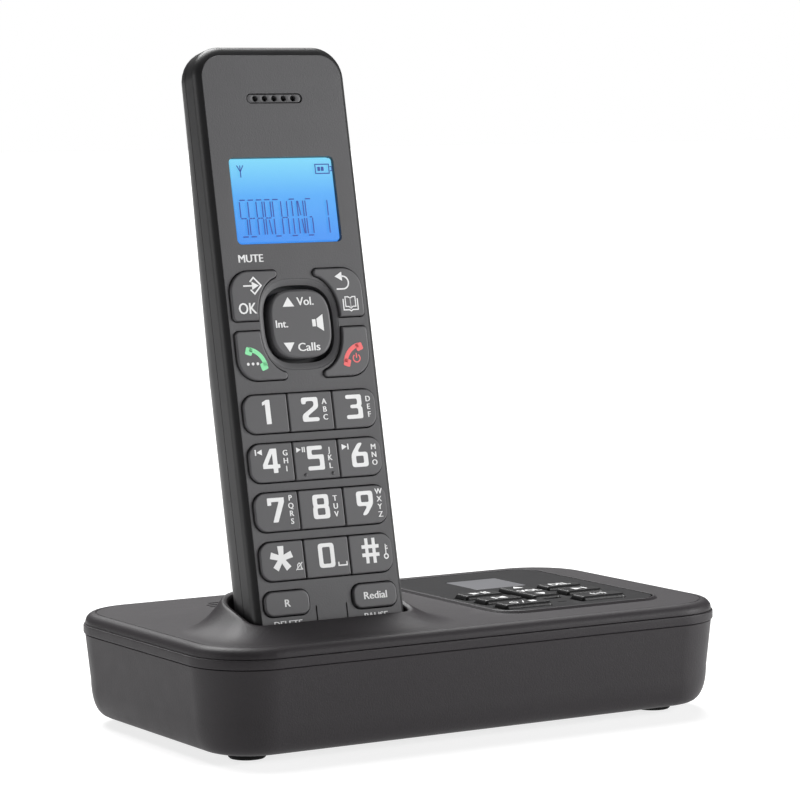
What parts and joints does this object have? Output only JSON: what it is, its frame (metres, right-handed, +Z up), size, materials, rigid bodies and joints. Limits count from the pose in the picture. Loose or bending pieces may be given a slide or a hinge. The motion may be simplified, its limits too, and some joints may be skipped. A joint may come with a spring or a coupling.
{
  "type": "cordless phone with base",
  "caption": "Cordless telephone handset leaning back in the flared cradle of a wide, low answering base with a control panel.",
  "frame": {"origin": "centre of the base footprint, on the surface that its feet stand on", "axes": "+Z up, -Y towards the user (the keys of both the handset and the base face -Y and up), +X to the user's right; the handset stands in the left half of the base"},
  "size_m": [0.17, 0.098, 0.1925],
  "materials": {
    "base_plastic": "fine satin texture",
    "handset_body_plastic": "fine satin texture",
    "handset_face_plastic": "fine matt texture",
    "panel_plastic": "satin",
    "base_key_plastic": "satin",
    "handset_key_plastic": "fine matt texture",
    "foot_rubber": "matt",
    "silicone_rubber": "matt",
    "smoked_window": "polished, smoked",
    "clear_lens": "polished, clear",
    "display_backlight": "lit blue display",
    "socket_plastic": "smooth",
    "circuit_board": "solder mask",
    "plated_steel": "bright",
    "contact_metal": "gold plated",
    "speaker_metal": "matt",
    "battery_sleeve": "printed sleeve"
  },
  "bodies": {
    "base": {"base_bottom_shell": "base_plastic", "base_trim_band": "base_plastic", "base_top_cover": "base_plastic", "base_feet": "foot_rubber", "base_screws": "plated_steel", "base_control_panel": "panel_plastic", "base_display_window": "smoked_window", "base_display_module": "socket_plastic", "base_key_mat": "silicone_rubber", "base_circuit_board": "circuit_board", "base_loudspeaker": "speaker_metal", "base_microphone": "plated_steel", "base_antenna": "contact_metal", "base_power_jack": "socket_plastic", "base_line_jack": "socket_plastic"},
    "handset": {"handset_front_cover": "handset_face_plastic", "handset_rear_cover": "handset_body_plastic", "handset_screws": "plated_steel", "handset_display_lens": "clear_lens", "handset_display_module": "display_backlight", "handset_key_mat": "silicone_rubber", "handset_circuit_board": "circuit_board", "handset_antenna": "contact_metal", "handset_earpiece": "speaker_metal", "handset_loudspeaker": "speaker_metal", "handset_microphone": "plated_steel", "handset_batteries": "battery_sleeve", "handset_battery_contacts": "plated_steel", "handset_charge_plates": "contact_metal"},
    "battery_door": {"handset_battery_door": "handset_body_plastic"},
    "navigation_post": {"navigation_pivot": "silicone_rubber"},
    "key_navigation": {"key_navigation": "handset_key_plastic"},
    "volume_rocker": {"base_volume_rocker": "base_key_plastic"},
    "key_ok": {"key_ok": "handset_key_plastic"},
    "key_phonebook": {"key_phonebook": "handset_key_plastic"},
    "key_talk": {"key_talk": "handset_key_plastic"},
    "key_end": {"key_end": "handset_key_plastic"},
    "key_1": {"key_1": "handset_key_plastic"},
    "key_2": {"key_2": "handset_key_plastic"},
    "key_3": {"key_3": "handset_key_plastic"},
    "key_4": {"key_4": "handset_key_plastic"},
    "key_5": {"key_5": "handset_key_plastic"},
    "key_6": {"key_6": "handset_key_plastic"},
    "key_7": {"key_7": "handset_key_plastic"},
    "key_8": {"key_8": "handset_key_plastic"},
    "key_9": {"key_9": "handset_key_plastic"},
    "key_star": {"key_star": "handset_key_plastic"},
    "key_0": {"key_0": "handset_key_plastic"},
    "key_hash": {"key_hash": "handset_key_plastic"},
    "key_recall": {"key_recall": "handset_key_plastic"},
    "key_redial": {"key_redial": "handset_key_plastic"},
    "base_play": {"base_key_play": "base_key_plastic"},
    "base_previous": {"base_key_previous": "base_key_plastic"},
    "base_power_stop": {"base_key_power_stop": "base_key_plastic"},
    "base_delete": {"base_key_delete": "base_key_plastic"},
    "base_next": {"base_key_next": "base_key_plastic"},
    "base_page": {"base_key_page": "base_key_plastic"},
    "charge_contact_left": {"base_charge_contact_left": "contact_metal"},
    "charge_contact_right": {"base_charge_contact_right": "contact_metal"}
  },
  "joints": [
    {"name": "handset_lift", "type": "slide", "parent": "base", "child": "handset", "axis": [0, 0.2028, 0.9792], "range_m": [0, 0.06]},
    {"name": "battery_door_slide", "type": "slide", "parent": "handset", "child": "battery_door", "axis": [0, -0.2028, -0.9792], "range_m": [0, 0.004]},
    {"name": "key_ok_press", "type": "slide", "parent": "handset", "child": "key_ok", "axis": [0, 0.9792, -0.2028], "range_m": [0, 0.0006], "stiffness_N_per_m": 1500},
    {"name": "key_phonebook_press", "type": "slide", "parent": "handset", "child": "key_phonebook", "axis": [0, 0.9792, -0.2028], "range_m": [0, 0.0006], "stiffness_N_per_m": 1500},
    {"name": "key_talk_press", "type": "slide", "parent": "handset", "child": "key_talk", "axis": [0, 0.9792, -0.2028], "range_m": [0, 0.0006], "stiffness_N_per_m": 1500},
    {"name": "key_end_press", "type": "slide", "parent": "handset", "child": "key_end", "axis": [0, 0.9792, -0.2028], "range_m": [0, 0.0006], "stiffness_N_per_m": 1500},
    {"name": "key_1_press", "type": "slide", "parent": "handset", "child": "key_1", "axis": [0, 0.9792, -0.2028], "range_m": [0, 0.0006], "stiffness_N_per_m": 1500},
    {"name": "key_2_press", "type": "slide", "parent": "handset", "child": "key_2", "axis": [0, 0.9792, -0.2028], "range_m": [0, 0.0006], "stiffness_N_per_m": 1500},
    {"name": "key_3_press", "type": "slide", "parent": "handset", "child": "key_3", "axis": [0, 0.9792, -0.2028], "range_m": [0, 0.0006], "stiffness_N_per_m": 1500},
    {"name": "key_4_press", "type": "slide", "parent": "handset", "child": "key_4", "axis": [0, 0.9792, -0.2028], "range_m": [0, 0.0006], "stiffness_N_per_m": 1500},
    {"name": "key_5_press", "type": "slide", "parent": "handset", "child": "key_5", "axis": [0, 0.9792, -0.2028], "range_m": [0, 0.0006], "stiffness_N_per_m": 1500},
    {"name": "key_6_press", "type": "slide", "parent": "handset", "child": "key_6", "axis": [0, 0.9792, -0.2028], "range_m": [0, 0.0006], "stiffness_N_per_m": 1500},
    {"name": "key_7_press", "type": "slide", "parent": "handset", "child": "key_7", "axis": [0, 0.9792, -0.2028], "range_m": [0, 0.0006], "stiffness_N_per_m": 1500},
    {"name": "key_8_press", "type": "slide", "parent": "handset", "child": "key_8", "axis": [0, 0.9792, -0.2028], "range_m": [0, 0.0006], "stiffness_N_per_m": 1500},
    {"name": "key_9_press", "type": "slide", "parent": "handset", "child": "key_9", "axis": [0, 0.9792, -0.2028], "range_m": [0, 0.0006], "stiffness_N_per_m": 1500},
    {"name": "key_star_press", "type": "slide", "parent": "handset", "child": "key_star", "axis": [0, 0.9792, -0.2028], "range_m": [0, 0.0006], "stiffness_N_per_m": 1500},
    {"name": "key_0_press", "type": "slide", "parent": "handset", "child": "key_0", "axis": [0, 0.9792, -0.2028], "range_m": [0, 0.0006], "stiffness_N_per_m": 1500},
    {"name": "key_hash_press", "type": "slide", "parent": "handset", "child": "key_hash", "axis": [0, 0.9792, -0.2028], "range_m": [0, 0.0006], "stiffness_N_per_m": 1500},
    {"name": "key_recall_press", "type": "slide", "parent": "handset", "child": "key_recall", "axis": [0, 0.9792, -0.2028], "range_m": [0, 0.0006], "stiffness_N_per_m": 1500},
    {"name": "key_redial_press", "type": "slide", "parent": "handset", "child": "key_redial", "axis": [0, 0.9792, -0.2028], "range_m": [0, 0.0006], "stiffness_N_per_m": 1500},
    {"name": "navigation_up_down", "type": "hinge", "parent": "handset", "child": "navigation_post", "pos_m": [-0.0395, -0.01014, 0.11522], "axis": [1, 0, 0], "range_deg": [-1.5, 1.5], "stiffness_Nm_per_rad": 0.4},
    {"name": "navigation_left_right", "type": "hinge", "parent": "navigation_post", "child": "key_navigation", "pos_m": [-0.0395, -0.01014, 0.11522], "axis": [0, 0.2028, 0.9792], "range_deg": [-1.5, 1.5], "stiffness_Nm_per_rad": 0.4},
    {"name": "base_play_press", "type": "slide", "parent": "base", "child": "base_play", "axis": [0, 0, -1], "range_m": [0, 0.0008], "stiffness_N_per_m": 1500},
    {"name": "base_previous_press", "type": "slide", "parent": "base", "child": "base_previous", "axis": [0, 0, -1], "range_m": [0, 0.0008], "stiffness_N_per_m": 1500},
    {"name": "base_power_stop_press", "type": "slide", "parent": "base", "child": "base_power_stop", "axis": [0, 0, -1], "range_m": [0, 0.0008], "stiffness_N_per_m": 1500},
    {"name": "base_delete_press", "type": "slide", "parent": "base", "child": "base_delete", "axis": [0, 0, -1], "range_m": [0, 0.0008], "stiffness_N_per_m": 1500},
    {"name": "base_next_press", "type": "slide", "parent": "base", "child": "base_next", "axis": [0, 0, -1], "range_m": [0, 0.0008], "stiffness_N_per_m": 1500},
    {"name": "base_page_press", "type": "slide", "parent": "base", "child": "base_page", "axis": [0, 0, -1], "range_m": [0, 0.0008], "stiffness_N_per_m": 1500},
    {"name": "volume_rock", "type": "hinge", "parent": "base", "child": "volume_rocker", "pos_m": [0.03835, -0.0092, 0.031], "axis": [1, 0, 0], "range_deg": [-2.5, 2.5], "stiffness_Nm_per_rad": 0.4},
    {"name": "charge_contact_left_spring", "type": "slide", "parent": "base", "child": "charge_contact_left", "axis": [0, -0.2028, -0.9792], "range_m": [0, 0.0008], "stiffness_N_per_m": 600},
    {"name": "charge_contact_right_spring", "type": "slide", "parent": "base", "child": "charge_contact_right", "axis": [0, -0.2028, -0.9792], "range_m": [0, 0.0008], "stiffness_N_per_m": 600}
  ]
}
